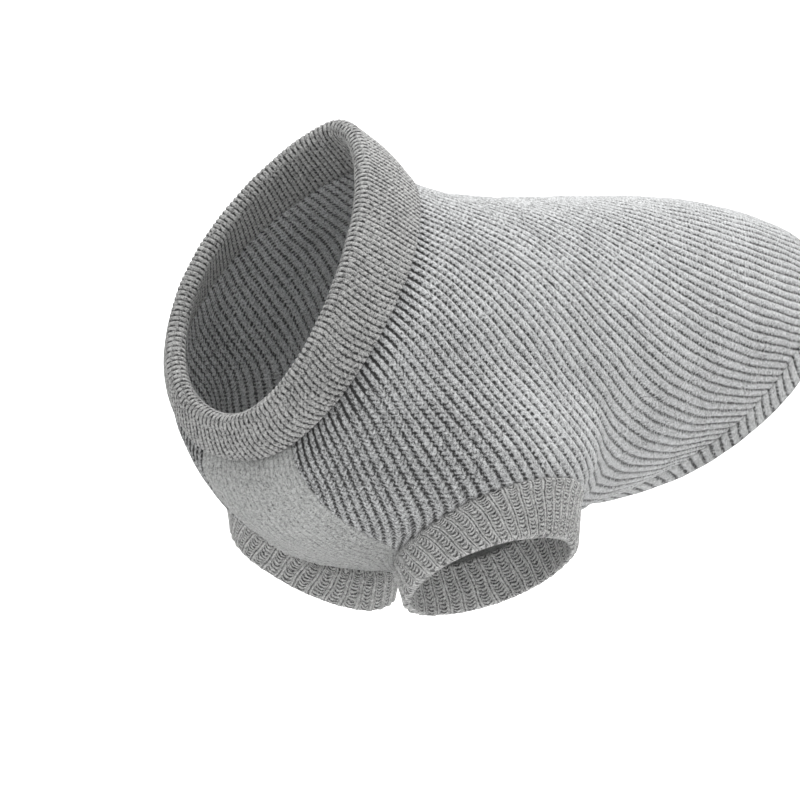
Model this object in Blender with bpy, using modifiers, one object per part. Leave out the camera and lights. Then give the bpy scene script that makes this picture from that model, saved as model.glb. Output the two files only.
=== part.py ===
"""A knitted dog sweater, worn: the hollow form that it keeps round a general dog's body.

Metres, +Z up. The wearer faces -X, its left side is -Y, and the sweater is the same on both sides of
Y = 0. The origin is on the inside of the cloth, on top of the middle of the back.

Pieces: a ribbed back panel that covers the back and both sides, a narrower chest panel that runs from
the collar between the front legs to the belly hem, a ribbed roll collar, a ribbed hem band and a
ribbed cuff at each front leg. Each is a wall of knit: the ribs are raised in its outer points, and its
inside is plain.

A place on the body is given by two numbers, "along" and "down". Along goes from 0 at the neck edge to
1 at the hem seam, and down from 0 on the spine to 1 under the belly.
"""

from collections import namedtuple

import bmesh
import bpy
import numpy as np

# ---------------------------------------------------------------- driving dimensions

WALL = 0.0020  # knit between the plain inside and the bottom of a trough
RIB_HEIGHT = 0.0010
RIB_STEEPNESS = 0.4  # a rib is never higher than this share of its half width
SEAM_GAP = 0.0003
CUFF_GAP = 0.0009
RING_GAP = 0.0007  # at the collar and the hem band, whose rings and the body's are cut into chords

# Ribs of the back panel on each side: those that run from the neck to the chest seam, those that end
# at the leg, those that leave the leg and end at the seam, those that pass above the leg, and those
# that leave the spine.
SEAM_RIBS, LEG_RIBS, REAR_SEAM_RIBS, SIDE_RIBS, SPINE_RIBS = 9, 16, 7, 24, 22
CHEST_COLUMNS = 12  # of its plain outside
COLLAR_RIBS = 76
HEM_RIBS = 84
CUFF_REPEATS = 24
COARSE = 4  # outer columns to each column of the plain inside

HALF_GIRTH = 0.30  # about the body's, from the spine to the midline of the chest
SEAM_AT = 0.87  # down, of the seam between the back panel and the chest panel
SEAM_DOWN_GAP = SEAM_GAP / HALF_GIRTH

# How steeply the ribs drift down on their way from the neck to the hem.
Drift = namedtuple("Drift", "along slope")
DRIFTS = (
    Drift(0.03, 0.00),
    Drift(0.14, 0.14),
    Drift(0.26, 0.52),
    Drift(0.36, 0.88),
    Drift(0.45, 0.90),
    Drift(0.57, 0.70),
    Drift(0.69, 0.42),
    Drift(0.80, 0.24),
    Drift(0.93, 0.00),
)

# A slanted ring round the body: its highest and lowest points in the plane of symmetry, its half
# width, how far down it is widest (a fraction of its height), and how far its sides lie behind the
# straight line between those points.
Ring = namedtuple("Ring", "top_x top_z bottom_x bottom_z half_width widest bow")

TORSO = (
    Ring(-0.137, 0.0090, -0.226, -0.143, 0.0690, 0.45, -0.016),  # neck edge, under the collar
    Ring(-0.104, 0.0000, -0.225, -0.163, 0.0790, 0.47, -0.020),
    Ring(-0.066, -0.0030, -0.204, -0.188, 0.0830, 0.49, -0.016),
    Ring(-0.020, -0.0015, -0.162, -0.203, 0.0850, 0.50, -0.008),
    Ring(0.030, 0.0025, -0.112, -0.206, 0.0850, 0.50, 0.002),
    Ring(0.084, 0.0065, -0.064, -0.203, 0.0840, 0.50, 0.012),
    Ring(0.140, 0.0090, -0.020, -0.196, 0.0820, 0.50, 0.022),
    Ring(0.196, 0.0070, 0.016, -0.187, 0.0800, 0.50, 0.028),
    Ring(0.250, 0.0010, 0.045, -0.179, 0.0780, 0.48, 0.030),  # hem seam
)
HEM_EDGE = Ring(0.265, -0.0020, 0.060, -0.180, 0.0790, 0.48, 0.033)

COLLAR_FOLD = Ring(-0.159, 0.0290, -0.240, -0.131, 0.0585, 0.44, -0.012)
FOLD_RADIUS = 0.0030  # of the space inside the fold
FLAP_LANDS = 0.040  # along, of the collar's free edge, which lies on the body
FLAP_CLEAR = 0.0042  # from the body's inside to the flap's inside
FLAP_BULGE = 0.0015

# A plane oval ring round a front leg: its centre, half its length and half its width, and its slopes
# outwards and forwards.
LegRing = namedtuple("LegRing", "x y z half_length half_width out_slope front_slope")
CUFF_TOP = LegRing(-0.1090, 0.0650, -0.1860, 0.0515, 0.0440, 0.60, 0.02)
CUFF_BOTTOM = LegRing(-0.1085, 0.0672, -0.2145, 0.0475, 0.0400, 0.57, 0.09)

# One repeat of a cuff's knit: a wide flat band, then two narrow ridges with a groove between them.
# Each point is placed by its share of the repeat, and raised by its share of the rib's height.
CuffPoint = namedtuple("CuffPoint", "place height")
CUFF_REPEAT = (
    CuffPoint(0.02, 0.00),
    CuffPoint(0.45, 0.00),
    CuffPoint(0.61, 1.00),
    CuffPoint(0.75, 0.15),
    CuffPoint(0.89, 1.00),
)

# The leg's hole on the body: its centre and half sizes, along and down, and how much its outer side
# leans towards the neck.
HOLE_ALONG, HOLE_DOWN = 0.464, 0.804
HOLE_HALF_ALONG, HOLE_HALF_DOWN, HOLE_LEAN = 0.115, 0.139, 0.046
SHOULDER_REACH = 2.3  # how far the cloth is drawn out to the leg, in half sizes of the hole
MIDLINE_STRIP = 0.05  # down, of the strip under the chest where that fades out
MITRE_REACH = 0.2  # how far from the hole the outside leans back to meet the cuff, in its half sizes

FRONT_ROWS, REAR_ROWS = 6, 7  # of the back panel, before and behind the top of the leg's hole
CHEST_HOLE_ROWS = 9
COLLAR_LAYER_ROWS, COLLAR_FOLD_ROWS = 2, 3
HEM_ROWS, CUFF_ROWS = 1, 2

SHARP_ANGLE = 0.9  # radians: the cut edges of a wall, and nothing else, are shaded sharp
MERGE_DISTANCE = 0.000002


# ---------------------------------------------------------------- rings and the body's surface


def smooth_step(x):
    """0 up to 0, 1 from 1 on, with a soft start and end."""
    x = np.clip(x, 0, 1)
    return x**3 * (10 - 15 * x + 6 * x**2)


def unit(vectors):
    return vectors / np.linalg.norm(vectors, axis=-1, keepdims=True)


def ring_at_angle(ring, angle):
    """Points of the left half of a ring, at angles from 0 on top to pi below."""
    power = np.log(0.5) / np.log(ring.widest)
    height = ((1 - np.cos(angle)) / 2) ** power
    side = np.sin(angle)
    x = ring.top_x + (ring.bottom_x - ring.top_x) * height + ring.bow * side**2
    z = ring.top_z + (ring.bottom_z - ring.top_z) * height
    return np.stack([x, -ring.half_width * side, z], axis=-1)


def ring_points(ring, down):
    """Points of the left half, at shares of its length from 0 on top to 1 below."""
    angles = np.linspace(0, np.pi, 361)
    steps = np.linalg.norm(np.diff(ring_at_angle(ring, angles), axis=0), axis=1)
    length = np.concatenate([[0], np.cumsum(steps)]) / steps.sum()
    return ring_at_angle(ring, np.interp(down, length, angles))


def torso(along, down):
    """Points of the body's left half without its shoulders: a smooth curve through the rings."""
    rings = np.stack([ring_points(ring, down) for ring in TORSO])
    rings = np.concatenate([2 * rings[:1] - rings[1:2], rings, 2 * rings[-1:] - rings[-2:-1]])
    place = np.clip(along, 0, 1) * (len(TORSO) - 1)
    first = np.minimum(place.astype(int), len(TORSO) - 2)
    part = (place - first)[:, None]
    each = np.arange(len(down))
    a, b, c, d = (rings[first + k, each] for k in range(4))
    curve = (2 * a - 5 * b + 4 * c - d) * part**2 + (3 * b - a - 3 * c + d) * part**3
    return b + ((c - a) * part + curve) / 2


def leg_ring_points(ring, angle):
    """Points of the left leg's ring, at angles from 0 in front, round the outer side."""
    forward, outward = ring.half_length * np.cos(angle), ring.half_width * np.sin(angle)
    z = ring.z + ring.out_slope * outward + ring.front_slope * forward
    return np.stack([ring.x - forward, -ring.y - outward, z], axis=-1)


def leg_ring_up(ring):
    """The unit vector square to the ring's plane, upwards."""
    return unit(np.array([ring.front_slope, ring.out_slope, 1.0]))


def leg_ring_away(ring, angle):
    """Unit vectors in the ring's plane, square to the ring and away from the leg."""
    step = 0.01
    tangent = leg_ring_points(ring, angle + step) - leg_ring_points(ring, angle - step)
    return unit(np.cross(tangent, leg_ring_up(ring)))


def hole_place(angle):
    """Along and down of the hole's edge."""
    along = HOLE_ALONG - HOLE_HALF_ALONG * np.cos(angle) - HOLE_LEAN * np.sin(angle)
    return along, HOLE_DOWN - HOLE_HALF_DOWN * np.sin(angle)


def hole_polar(along, down):
    """Distance from the hole's centre, in its half sizes, and angle round it."""
    outward = (HOLE_DOWN - down) / HOLE_HALF_DOWN
    forward = (HOLE_ALONG - along - HOLE_LEAN * outward) / HOLE_HALF_ALONG
    return np.hypot(forward, outward), np.arctan2(outward, forward)


def body(along, down):
    """Points of the body's inside: the torso, drawn out round the front leg to the cuff."""
    reach, angle = hole_polar(along, down)
    pull = leg_ring_points(CUFF_TOP, angle) - torso(*hole_place(angle))
    away = np.clip((reach - 1) / (SHOULDER_REACH - 1), 0, 1)
    fade = (1 - away) ** 2 * (1 + 2 * away) * smooth_step((1 - down) / MIDLINE_STRIP)
    return torso(along, down) + fade[:, None] * pull


def body_ways(along, down):
    """The directions along and down the body's inside."""
    step = 0.004
    after, before = np.clip(along + step, 0, 1), np.clip(along - step, 0, 1)
    below, above = np.clip(down + step, 0, 1), np.clip(down - step, 0, 1)
    along_way = body(after, down) - body(before, down)
    down_way = body(along, below) - body(along, above)
    # In the plane of symmetry the two halves share one direction down.
    down_way[(down <= 0) | (down >= 1)] *= (0, 1, 0)
    return unit(along_way), unit(down_way)


def body_normal(along, down):
    """Unit vectors out of the body's inside."""
    along_way, down_way = body_ways(along, down)
    return unit(np.cross(down_way, along_way))


def mitre(angle):
    """The way out of both walls where the body meets the cuff, for walls of length 1."""
    normal = body_normal(*hole_place(angle))
    away = leg_ring_away(CUFF_TOP, angle)
    return (normal + away) / (1 + np.sum(normal * away, axis=-1, keepdims=True))


# ---------------------------------------------------------------- the paths of the ribs


def drift_table():
    """Places along, and how far down the ribs have drifted there."""
    fine = np.linspace(0, 1, 2001)
    slope = np.interp(fine, *zip(*DRIFTS))
    return fine, np.concatenate([[0], np.cumsum((slope[1:] + slope[:-1]) / 2 * np.diff(fine))])


def drift(along):
    """How far down a rib has drifted since the neck edge."""
    return np.interp(along, *drift_table())


def drift_reached(amount):
    """Where, along, the drift has reached an amount."""
    fine, drifted = drift_table()
    return np.interp(amount, drifted, fine)


def rib_down(start, along):
    """Down, of the rib that would start at "start" on the neck edge."""
    return start + drift(along)


def nearest_to_hole(start):
    """How near to the hole's centre a rib passes, in half sizes, and at what angle."""
    fine = np.linspace(0, 1, 4001)
    reach, angle = hole_polar(fine, rib_down(start, fine))
    return reach.min(), angle[np.argmin(reach)]


def first_passing():
    """The start of the rib that just passes above the hole, and the hole's angle where it touches."""
    clear, meets = 0.0, SEAM_AT
    for _ in range(40):
        middle = (clear + meets) / 2
        if nearest_to_hole(middle)[0] > 1:
            clear = middle
        else:
            meets = middle
    return clear, nearest_to_hole(clear)[1]


def hole_meetings(start):
    """Where, along, a rib meets the front and the back of the hole."""
    fine = np.linspace(0, 1, 8001)
    reach, _ = hole_polar(fine, rib_down(start, fine))
    inside = fine[reach <= 1]
    return inside[0], inside[-1]


def seam_angles(seam_at):
    """The hole's angles where a line at that place down meets it, in front and behind."""
    front = np.arcsin((HOLE_DOWN - seam_at) / HOLE_HALF_DOWN)
    return front, -np.pi - front


def rib_places(start, begins, ends, rows):
    """Along and down of the points of one column of the back panel."""
    along = np.linspace(begins, ends, rows + 1)
    return np.stack([along, np.clip(rib_down(start, along), 0, SEAM_AT)], axis=-1)


def level_places(down, begins, ends, rows):
    """Places along the seam or the spine, evenly spaced."""
    return np.stack([np.linspace(begins, ends, rows + 1), np.full(rows + 1, down)], axis=-1)


def half_ribs(first, last, ribs):
    """Starts from first to last, two to each rib, without the first. Odd columns are ribs."""
    return np.linspace(first, last, 2 * ribs + 1)[1:]


def back_grids():
    """Along and down of the points of the back panel's left half, as two blocks of columns.

    The front block's columns run from the neck edge or the spine to the chest seam, to the front of
    the leg's hole or past the hole's top. The rear block's run from the back of the hole to the seam,
    and from the front block's ends to the hem. The first column of both lies on the seam, and the last
    is the spine.
    """
    passing, touch = first_passing()
    touch_along = hole_place(touch)[0]
    before, behind = (hole_place(angle)[0] for angle in seam_angles(SEAM_AT))
    corner, rear_corner = SEAM_AT - drift(before), SEAM_AT - drift(behind)

    starts = half_ribs(SEAM_AT, corner, SEAM_RIBS)[:-1]
    reached = [drift_reached(SEAM_AT - start) for start in starts]
    front = [level_places(SEAM_AT, 0, (DRIFTS[0].along + reached[0]) / 2, FRONT_ROWS)]
    front += [rib_places(start, 0, ends, FRONT_ROWS) for start, ends in zip(starts, reached)]
    front += [rib_places(corner, 0, before, FRONT_ROWS)]
    for start in half_ribs(corner, passing, LEG_RIBS)[:-1]:
        front.append(rib_places(start, 0, hole_meetings(start)[0], FRONT_ROWS))

    starts = half_ribs(rear_corner, passing, REAR_SEAM_RIBS)[:-1]
    reached = [drift_reached(SEAM_AT - start) for start in starts]
    rear = [level_places(SEAM_AT, behind, (behind + reached[0]) / 2, REAR_ROWS)]
    for start, ends in zip(starts, reached):
        rear.append(rib_places(start, hole_meetings(start)[1], ends, REAR_ROWS))

    # The rib that passes the hole ends at the corner of the hem, and those above it a little lower.
    to_corner = SEAM_AT - rib_down(passing, 1.0)
    from_spine = half_ribs(0, -drift(1.0), SPINE_RIBS)[:-1]
    for start in np.concatenate([[passing], half_ribs(passing, 0, SIDE_RIBS), from_spine]):
        begins = drift_reached(-start) if start < 0 else 0.0
        middle = begins + (1 - begins) * touch_along
        front.append(rib_places(start, begins, middle, FRONT_ROWS))
        front[-1][0, 1] = max(0.0, start)
        rear.append(rib_places(start, middle, 1, REAR_ROWS))
        lower = to_corner * max(0.0, start) / passing
        rear[-1][:, 1] += lower * np.linspace(0, 1, REAR_ROWS + 1) ** 2
    begins = (front[-1][0, 0] + DRIFTS[-1].along) / 2
    middle = begins + (1 - begins) * touch_along
    front.append(level_places(0, begins, middle, FRONT_ROWS))
    rear.append(level_places(0, middle, 1, REAR_ROWS))
    return np.stack(front), np.stack(rear)


def chest_grid(back_front, back_rear):
    """Along and down of the points of the chest panel's left half, from its edge to the midline.

    Before and behind the leg its rows meet the back panel's ribs, so that the seam has one line.
    """
    edge_down = SEAM_AT + SEAM_DOWN_GAP
    angles = np.linspace(*seam_angles(edge_down), CHEST_HOLE_ROWS + 1)
    at_hole = np.stack(hole_place(angles), axis=-1)
    before = np.append(0.0, back_front[: 2 * SEAM_RIBS, -1, 0])
    behind = back_rear[: 2 * REAR_SEAM_RIBS + 1, -1, 0]
    edge = np.concatenate(
        [
            np.stack([before, np.full(len(before), edge_down)], axis=-1),
            at_hole,
            np.stack([behind, np.full(len(behind), edge_down)], axis=-1),
        ]
    )
    share = np.linspace(0, 1, CHEST_COLUMNS + 1)
    down = edge[None, :, 1] + share[:, None] * (1 - edge[None, :, 1])
    return np.stack([np.broadcast_to(edge[None, :, 0], down.shape), down], axis=-1)


# ---------------------------------------------------------------- walls


def heights(inside, pattern):
    """How far each point is raised: by the pattern, and less where the columns run close together."""
    apart = np.linalg.norm(np.diff(inside, axis=0), axis=-1)
    apart = np.concatenate([apart[:1], np.minimum(apart[1:], apart[:-1]), apart[-1:]])
    return pattern[:, None] * np.minimum(RIB_HEIGHT, RIB_STEEPNESS * apart)


def alternate(count):
    """A rib at each odd column."""
    return np.arange(count) % 2


def body_wall(places, pattern):
    """Inside and outside points of a wall of the body, for a grid of places along and down."""
    along, down = places[..., 0].ravel(), places[..., 1].ravel()
    inside = body(along, down).reshape(*places.shape[:2], 3)
    normal = body_normal(along, down).reshape(inside.shape)
    reach, angle = hole_polar(places[..., 0], places[..., 1])
    lean = np.clip(1 - (reach - 1) / MITRE_REACH, 0, 1)[..., None]
    out = normal + lean * (mitre(angle.ravel()).reshape(inside.shape) - normal)
    return inside, inside + out * (WALL + heights(inside, pattern))[..., None]


def sheet_faces(grid):
    """The four-sided faces of a grid of points."""
    return [
        (grid[i, j], grid[i + 1, j], grid[i + 1, j + 1], grid[i, j + 1])
        for i in range(len(grid) - 1)
        for j in range(grid.shape[1] - 1)
    ]


def rim_faces(fine, coarse):
    """The faces that join a line of points to a line with fewer, whose ends lie beside its own."""
    ratio = (len(fine) - 1) // (len(coarse) - 1)
    faces = []
    for k in range(len(coarse) - 1):
        middle = ratio * k + ratio // 2
        for i in range(ratio * k, ratio * (k + 1)):
            faces.append((fine[i], fine[i + 1], coarse[k] if i < middle else coarse[k + 1]))
        faces.append((coarse[k], fine[middle], coarse[k + 1]))
    return faces


# Neighbouring columns of a block of ribs: the first and the last, how many to each column of the plain
# inside, and whether they begin and end at a cut edge.
Span = namedtuple("Span", "first last coarse begins_cut ends_cut")


def block_faces(places, spans):
    """The faces of a block of the back panel, whose first column is a cut edge too."""
    inside, outside = body_wall(places, alternate(len(places)))
    faces = sheet_faces(outside) + rim_faces(outside[0], inside[0])
    for span in spans:
        shown = outside[span.first : span.last + 1]
        plain = inside[span.first : span.last + 1 : span.coarse]
        faces += sheet_faces(plain)
        if span.begins_cut:
            faces += rim_faces(shown[:, 0], plain[:, 0])
        if span.ends_cut:
            faces += rim_faces(shown[:, -1], plain[:, -1])
    return faces


# ---------------------------------------------------------------- pieces


def back_panel_faces():
    """Where the ribs end at a seam or a leg, the inside has more columns, so that the edges match."""
    front, rear = back_grids()
    at_seam = 2 * SEAM_RIBS
    at_leg = at_seam + 2 * LEG_RIBS
    at_spine = at_leg + 2 * SIDE_RIBS
    front_spans = (
        Span(0, at_seam, 1, True, True),
        Span(at_seam, at_leg, 2, True, True),
        Span(at_leg, at_spine, COARSE, True, False),
        Span(at_spine, len(front) - 1, COARSE, False, False),
    )
    at_seam = 2 * REAR_SEAM_RIBS
    rear_spans = (
        Span(0, at_seam, 1, True, True),
        Span(at_seam, len(rear) - 1, COARSE, False, True),
    )
    return block_faces(front, front_spans) + block_faces(rear, rear_spans)


def chest_panel_faces():
    places = chest_grid(*back_grids())
    inside, outside = body_wall(places, np.zeros(len(places)))
    plain = inside[::COARSE]
    faces = sheet_faces(outside) + sheet_faces(plain) + rim_faces(outside[0], plain[0])
    return faces + rim_faces(outside[:, 0], plain[:, 0]) + rim_faces(outside[:, -1], plain[:, -1])


def collar_faces():
    """One wall, folded outwards: up inside the neck, over the fold and down on the body."""
    down = np.linspace(0, 1, COLLAR_RIBS + 1)
    neck, lands = np.zeros(len(down)), np.full(len(down), FLAP_LANDS)
    along_way, _ = body_ways(neck, down)
    neck_out = body_normal(neck, down)
    start = body(neck, down) - RING_GAP * along_way
    fold = ring_points(COLLAR_FOLD, down)
    landing = body(lands, down) + FLAP_CLEAR * body_normal(lands, down)

    step = 0.01
    below, above = np.clip(down + step, 0, 1), np.clip(down - step, 0, 1)
    tangent = ring_points(COLLAR_FOLD, below) - ring_points(COLLAR_FOLD, above)
    tangent[[0, -1]] *= (0, 1, 0)
    tangent = unit(tangent)
    forward = unit(fold - start)
    fold_out = unit(np.cross(tangent, -forward))
    forward = unit(np.cross(tangent, fold_out))

    hidden, out = [start + WALL * neck_out], [-neck_out]
    for turned in np.linspace(0, np.pi, COLLAR_FOLD_ROWS + 1):
        out.append(forward * np.sin(turned) - fold_out * np.cos(turned))
        hidden.append(fold + FOLD_RADIUS * out[-1])
    turned_over = hidden[-1]
    flap_out = unit(np.cross(tangent, landing - turned_over))
    for share in np.linspace(0, 1, COLLAR_LAYER_ROWS + 1)[1:]:
        bulge = FLAP_BULGE * np.sin(np.pi * share) * flap_out
        hidden.append(turned_over * (1 - share) + landing * share + bulge)
        out.append(flap_out)
    hidden, out = np.stack(hidden, axis=1), np.stack(out, axis=1)
    raised = heights(hidden, alternate(len(down)))
    shown = hidden + out * (WALL + raised)[..., None]
    coarse = hidden[::COARSE]
    rims = rim_faces(shown[:, 0], coarse[:, 0]) + rim_faces(shown[:, -1], coarse[:, -1])
    return sheet_faces(shown) + sheet_faces(coarse) + rims


def hem_band_faces():
    down = np.linspace(0, 1, HEM_RIBS + 1)
    seam = np.ones(len(down))
    along_way, _ = body_ways(seam, down)
    start = body(seam, down) + RING_GAP * along_way
    edge = ring_points(HEM_EDGE, down)
    share = np.linspace(0, 1, HEM_ROWS + 1)[None, :, None]
    inside = start[:, None] * (1 - share) + edge[:, None] * share
    raised = heights(inside, alternate(len(down)))
    outside = inside + body_normal(seam, down)[:, None] * (WALL + raised)[..., None]
    coarse = inside[::COARSE]
    rims = rim_faces(outside[:, 0], coarse[:, 0]) + rim_faces(outside[:, -1], coarse[:, -1])
    return sheet_faces(outside) + sheet_faces(coarse) + rims


def cuff_faces():
    """The left cuff. Its rings' planes turn from the plane of the leg's hole to that of its edge."""
    repeats = np.arange(CUFF_REPEATS)[:, None]
    places = (repeats + [point.place for point in CUFF_REPEAT]) / CUFF_REPEATS
    places = np.append(places, places[0, 0] + 1)
    pattern = np.tile([point.height for point in CUFF_REPEAT], CUFF_REPEATS)
    pattern = np.append(pattern, pattern[0])
    angles = 2 * np.pi * places
    raised = WALL + RIB_HEIGHT * pattern[:, None]
    inside, outside = [], []
    for row, share in enumerate(np.linspace(0, 1, CUFF_ROWS + 1)):
        ring = LegRing(*(np.array(CUFF_TOP) * (1 - share) + np.array(CUFF_BOTTOM) * share))
        inside.append(leg_ring_points(ring, angles) - leg_ring_up(ring) * CUFF_GAP * (1 - share))
        out = leg_ring_away(ring, angles) if row else mitre(angles)
        outside.append(inside[-1] + out * raised)
    inside, outside = np.stack(inside, axis=1)[:: len(CUFF_REPEAT)], np.stack(outside, axis=1)
    rims = rim_faces(outside[:, 0], inside[:, 0]) + rim_faces(outside[:, -1], inside[:, -1])
    return sheet_faces(outside) + sheet_faces(inside) + rims


# ---------------------------------------------------------------- objects


def knit_material(name, colour, roughness):
    material = bpy.data.materials.new(name)
    material.use_nodes = True
    shader = material.node_tree.nodes["Principled BSDF"]
    shader.inputs["Base Color"].default_value = (*colour, 1)
    shader.inputs["Roughness"].default_value = roughness
    shader.inputs["Metallic"].default_value = 0
    return material


def knit_object(name, faces, material, mirrored):
    """An object from faces that are given by their points. A loft of this kind has no other tool.

    A mirrored one is a left half, open at the plane of symmetry.
    """
    mesh = bmesh.new()
    for face in faces:
        mesh.faces.new([mesh.verts.new(point) for point in face])
    bmesh.ops.remove_doubles(mesh, verts=mesh.verts, dist=MERGE_DISTANCE)
    bmesh.ops.recalc_face_normals(mesh, faces=mesh.faces)
    data = bpy.data.meshes.new(name)
    mesh.to_mesh(data)
    mesh.free()
    data.shade_smooth()
    data.set_sharp_from_angle(angle=SHARP_ANGLE)
    data.materials.append(material)
    piece = bpy.data.objects.new(name, data)
    if mirrored:
        mirror = piece.modifiers.new("Right half", "MIRROR")
        mirror.use_axis = (False, True, False)
        mirror.merge_threshold = 0.00001
    return piece


def main():
    for old in list(bpy.data.objects):
        bpy.data.objects.remove(old)
    sweater = bpy.data.collections.new("dog_sweater")
    bpy.context.scene.collection.children.link(sweater)

    body_knit = knit_material("body_knit", (0.40, 0.40, 0.41), 0.9)
    chest_knit = knit_material("chest_knit", (0.36, 0.36, 0.37), 0.9)
    edge_knit = knit_material("edge_knit", (0.33, 0.33, 0.33), 0.9)

    cuff = cuff_faces()
    right_cuff = [[point * (1, -1, 1) for point in face] for face in cuff]
    for piece in (
        knit_object("back_panel", back_panel_faces(), body_knit, mirrored=True),
        knit_object("chest_panel", chest_panel_faces(), chest_knit, mirrored=True),
        knit_object("collar", collar_faces(), edge_knit, mirrored=True),
        knit_object("hem_band", hem_band_faces(), edge_knit, mirrored=True),
        knit_object("cuff_left", cuff, edge_knit, mirrored=False),
        knit_object("cuff_right", right_cuff, edge_knit, mirrored=False),
    ):
        sweater.objects.link(piece)


main()
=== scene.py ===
"""The looks of the knitted dog sweater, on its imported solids.

The sizes and curves of the solids are repeated here, because this script reads no other file. Each
piece is the same wall with a finer surface: every rib has a rounded form, and the stitches are bump.
"""

from collections import namedtuple

import bmesh
import bpy
import numpy as np
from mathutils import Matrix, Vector

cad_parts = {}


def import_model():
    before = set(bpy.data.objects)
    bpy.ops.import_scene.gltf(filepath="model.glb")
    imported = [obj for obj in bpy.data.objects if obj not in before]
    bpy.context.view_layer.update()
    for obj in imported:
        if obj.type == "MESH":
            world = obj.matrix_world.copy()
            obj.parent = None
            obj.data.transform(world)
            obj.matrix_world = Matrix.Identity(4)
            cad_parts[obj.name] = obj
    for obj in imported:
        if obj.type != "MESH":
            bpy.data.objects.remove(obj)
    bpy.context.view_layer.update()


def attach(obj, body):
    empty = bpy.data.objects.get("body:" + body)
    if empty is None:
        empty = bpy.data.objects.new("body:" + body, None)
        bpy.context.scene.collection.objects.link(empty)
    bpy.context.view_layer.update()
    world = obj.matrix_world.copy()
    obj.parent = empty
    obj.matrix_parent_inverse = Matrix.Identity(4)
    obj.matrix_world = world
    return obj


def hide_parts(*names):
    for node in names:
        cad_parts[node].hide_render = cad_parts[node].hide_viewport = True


# ---------------------------------------------------------------- sizes of the solids

WALL = 0.0020
SEAM_GAP = 0.0003
RING_GAP = 0.0007

# Ribs of one half of the body: from the seam's front end, the leg, the seam behind it, the neck's
# side and the spine.
SEAM_RIBS, LEG_RIBS, REAR_SEAM_RIBS, SIDE_RIBS, SPINE_RIBS = 9, 16, 7, 24, 22
COLLAR_RIBS = 76
HEM_RIBS = 84

HALF_GIRTH = 0.30
SEAM_AT = 0.87  # how far down the chest panel's seam lies
SEAM_DOWN_GAP = SEAM_GAP / HALF_GIRTH

# How steeply the ribs go down the side at each place along the body.
Drift = namedtuple("Drift", "along slope")
DRIFTS = (
    Drift(0.03, 0.00),
    Drift(0.14, 0.14),
    Drift(0.26, 0.52),
    Drift(0.36, 0.88),
    Drift(0.45, 0.90),
    Drift(0.57, 0.70),
    Drift(0.69, 0.42),
    Drift(0.80, 0.24),
    Drift(0.93, 0.00),
)

# A slanted ring of the body: its top, its bottom and its half width, how far down it is widest, and
# how far its sides bow back.
Ring = namedtuple("Ring", "top_x top_z bottom_x bottom_z half_width widest bow")

TORSO = (
    Ring(-0.137, 0.0090, -0.226, -0.143, 0.0690, 0.45, -0.016),
    Ring(-0.104, 0.0000, -0.225, -0.163, 0.0790, 0.47, -0.020),
    Ring(-0.066, -0.0030, -0.204, -0.188, 0.0830, 0.49, -0.016),
    Ring(-0.020, -0.0015, -0.162, -0.203, 0.0850, 0.50, -0.008),
    Ring(0.030, 0.0025, -0.112, -0.206, 0.0850, 0.50, 0.002),
    Ring(0.084, 0.0065, -0.064, -0.203, 0.0840, 0.50, 0.012),
    Ring(0.140, 0.0090, -0.020, -0.196, 0.0820, 0.50, 0.022),
    Ring(0.196, 0.0070, 0.016, -0.187, 0.0800, 0.50, 0.028),
    Ring(0.250, 0.0010, 0.045, -0.179, 0.0780, 0.48, 0.030),
)
HEM_EDGE = Ring(0.265, -0.0020, 0.060, -0.180, 0.0790, 0.48, 0.033)

COLLAR_FOLD = Ring(-0.159, 0.0290, -0.240, -0.131, 0.0585, 0.44, -0.012)
FOLD_RADIUS = 0.0030
FLAP_LANDS = 0.040
FLAP_CLEAR = 0.0042
FLAP_BULGE = 0.0015

LegRing = namedtuple("LegRing", "x y z half_length half_width out_slope front_slope")
CUFF_TOP = LegRing(-0.1090, 0.0650, -0.1860, 0.0515, 0.0440, 0.60, 0.02)
CUFF_BOTTOM = LegRing(-0.1085, 0.0672, -0.2145, 0.0475, 0.0400, 0.57, 0.09)

# The leg's hole in the body's own coordinates, its reach over the shoulder and the strip by the
# midline that it leaves alone.
HOLE_ALONG, HOLE_DOWN = 0.464, 0.804
HOLE_HALF_ALONG, HOLE_HALF_DOWN, HOLE_LEAN = 0.115, 0.139, 0.046
SHOULDER_REACH = 2.3
MIDLINE_STRIP = 0.05
MITRE_REACH = 0.2

# ---------------------------------------------------------------- sizes of the fine surface

RIB_HEIGHT = 0.0013
RIB_STEEPNESS = 0.45  # the most that a rib rises to half its width
RIB_ROUNDNESS = 0.6
SUB = 4  # columns to half a rib
ROW_COARSE = 2  # outer rows to each inner one
FRONT_ROWS, REAR_ROWS = 40, 44
STITCH = 0.0030  # length of a stitch along a body rib
BOTH_RIMS = ("first row", "last row")

CHEST_RIBS, CHEST_ROWS = 10, 30
CHEST_RIB_HEIGHT, CHEST_STEEPNESS, CHEST_STITCH = 0.0006, 0.30, 0.0022
CHEST_FLATTER, CHEST_FLATTENED_AT = 0.75, 0.35  # by how much its ribs fade, and where they have

COLLAR_SUB = 3
COLLAR_INNER_ROWS, COLLAR_FOLD_ROWS, COLLAR_LAYER_ROWS = 6, 16, 18
COLLAR_RIB_HEIGHT, COLLAR_STITCH = 0.0009, 0.0026
# How far down a collar rib moves between the fold and the free edge.
Lean = namedtuple("Lean", "down by")
COLLAR_LEANS = (
    Lean(0.00, 0.000),
    Lean(0.25, -0.010),
    Lean(0.44, -0.015),
    Lean(0.53, -0.020),
    Lean(0.62, -0.021),
    Lean(0.70, -0.023),
    Lean(0.77, -0.030),
    Lean(0.84, -0.036),
    Lean(0.91, -0.028),
    Lean(1.00, 0.000),
)
COLLAR_LEAN_POWER = 1.6

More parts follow.
